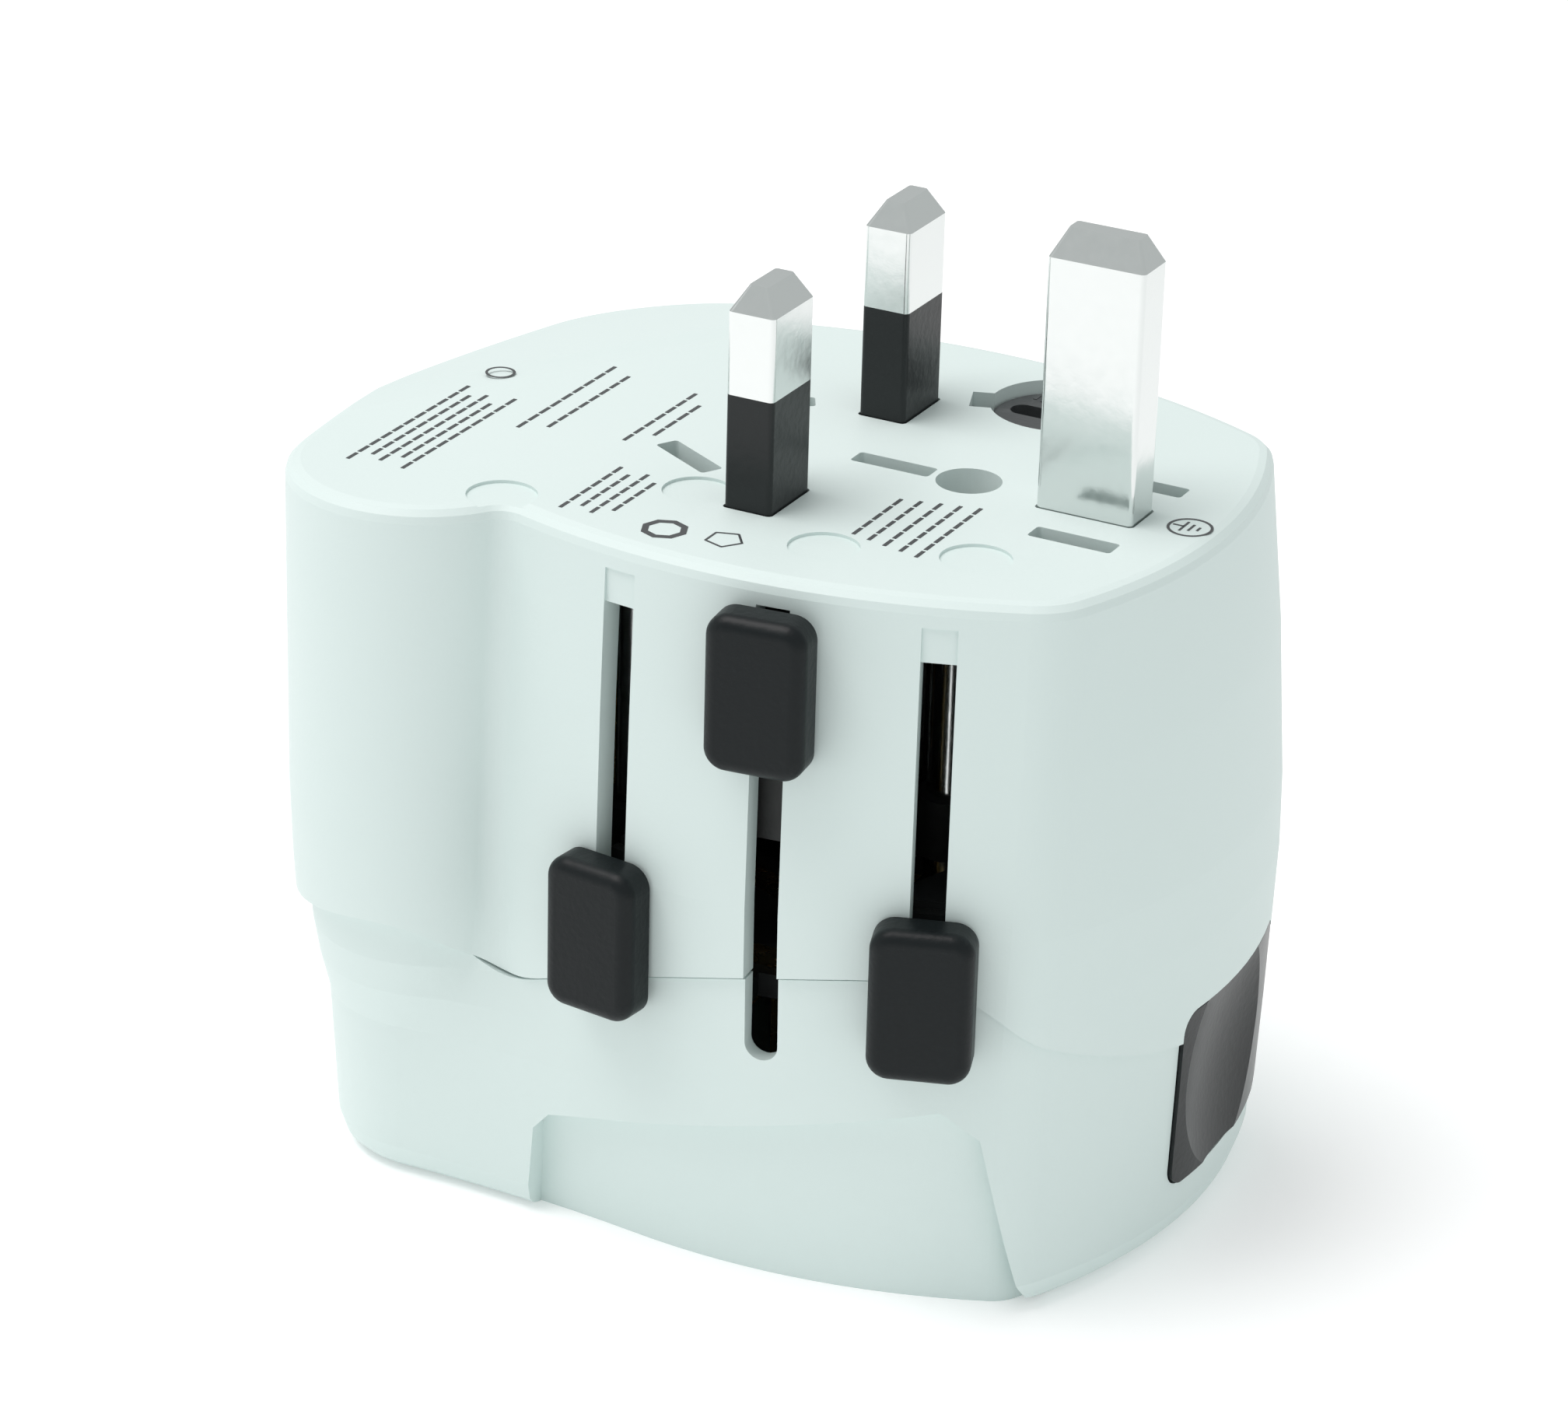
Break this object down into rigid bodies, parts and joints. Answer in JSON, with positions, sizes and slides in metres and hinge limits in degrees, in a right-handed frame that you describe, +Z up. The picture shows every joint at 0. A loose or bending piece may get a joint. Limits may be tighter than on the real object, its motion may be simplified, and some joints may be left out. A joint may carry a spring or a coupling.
{
  "type": "universal travel adapter",
  "caption": "Travel plug adapter with a white lobed body, black front sliders that raise one of several retractable pin sets, a fuse cap, a side release button and a socket on the base",
  "frame": {"origin": "Middle of the base, on the plane the adapter stands on", "axes": "+Z up, out of the plug face; the sliders face -Y; the release button faces +X"},
  "size_m": [0.0726, 0.0593, 0.0823],
  "materials": {
    "shell_white": "fine matt moulded polycarbonate",
    "button_black": "satin black moulded plastic",
    "socket_white": "matt moulded polycarbonate",
    "frame_black": "plain black moulded nylon",
    "slider_black": "satin black moulded plastic",
    "strip_grey": "plain dark moulded plastic",
    "sleeve_black": "satin black insulating sleeve",
    "pin_nickel": "bright nickel plate over brass",
    "contact_brass": "stamped brass strip",
    "steel": "plain bright steel",
    "fuse_body": "ceramic tube with plated ends",
    "cap_grey": "dark grey moulded plastic",
    "board_green": "green solder mask",
    "tongue_black": "plain black plastic",
    "transformer_yellow": "yellow winding tape",
    "capacitor_dark": "dark shrink sleeve"
  },
  "bodies": {
    "body": {"upper_housing": "shell_white", "lower_housing": "shell_white", "chassis": "frame_black", "socket_face": "socket_white", "line_contact": "contact_brass", "neutral_contact": "contact_brass", "earth_contact": "contact_brass", "line_bus_bar": "contact_brass", "neutral_bus_bar": "contact_brass", "earth_bus_bar": "contact_brass", "fuse_holder": "frame_black", "fuse": "fuse_body", "fuse_spring": "steel", "guide_rods": "steel", "housing_screws": "steel", "usb_board": "board_green", "usb_port_front": "steel", "usb_port_rear": "steel", "usb_tongues": "tongue_black", "usb_transformer": "transformer_yellow", "usb_capacitors": "capacitor_dark", "button_spring": "steel"},
    "uk_set": {"uk_carriage": "frame_black", "uk_line_pin": "pin_nickel", "uk_neutral_pin": "pin_nickel", "uk_earth_pin": "pin_nickel", "uk_line_sleeve": "sleeve_black", "uk_neutral_sleeve": "sleeve_black", "uk_slider_knob": "slider_black", "uk_shield_strip": "strip_grey", "uk_brushes": "contact_brass"},
    "au_set": {"au_carriage": "frame_black", "au_line_blade": "pin_nickel", "au_neutral_blade": "pin_nickel", "au_earth_blade": "pin_nickel", "au_slider_knob": "slider_black", "au_shield_strip": "strip_grey", "au_brushes": "contact_brass"},
    "us_set": {"us_carriage": "frame_black", "us_line_blade": "pin_nickel", "us_neutral_blade": "pin_nickel", "us_earth_pin": "pin_nickel", "us_slider_knob": "slider_black", "us_shield_strip": "strip_grey", "us_brushes": "contact_brass"},
    "button": {"release_button": "button_black", "latch_blade": "steel"},
    "fuse_cap_body": {"fuse_cap": "cap_grey"}
  },
  "joints": [
    {"name": "uk_slide", "type": "slide", "parent": "body", "child": "uk_set", "axis": [0, 0, 1], "range_m": [-0.0234, 0]},
    {"name": "au_slide", "type": "slide", "parent": "body", "child": "au_set", "axis": [0, 0, 1], "range_m": [0, 0.0234]},
    {"name": "us_slide", "type": "slide", "parent": "body", "child": "us_set", "axis": [0, 0, 1], "range_m": [0, 0.0234]},
    {"name": "button_press", "type": "slide", "parent": "body", "child": "button", "axis": [-1, 0, 0], "range_m": [0, 0.0018], "stiffness_N_per_m": 700, "springref_m": -0.001, "deforming": ["button_spring"]},
    {"name": "fuse_cap_turn", "type": "hinge", "parent": "body", "child": "fuse_cap_body", "pos_m": [0.0131, 0.01705, 0.058], "axis": [0, 0, 1], "range_deg": [0, 90]}
  ]
}
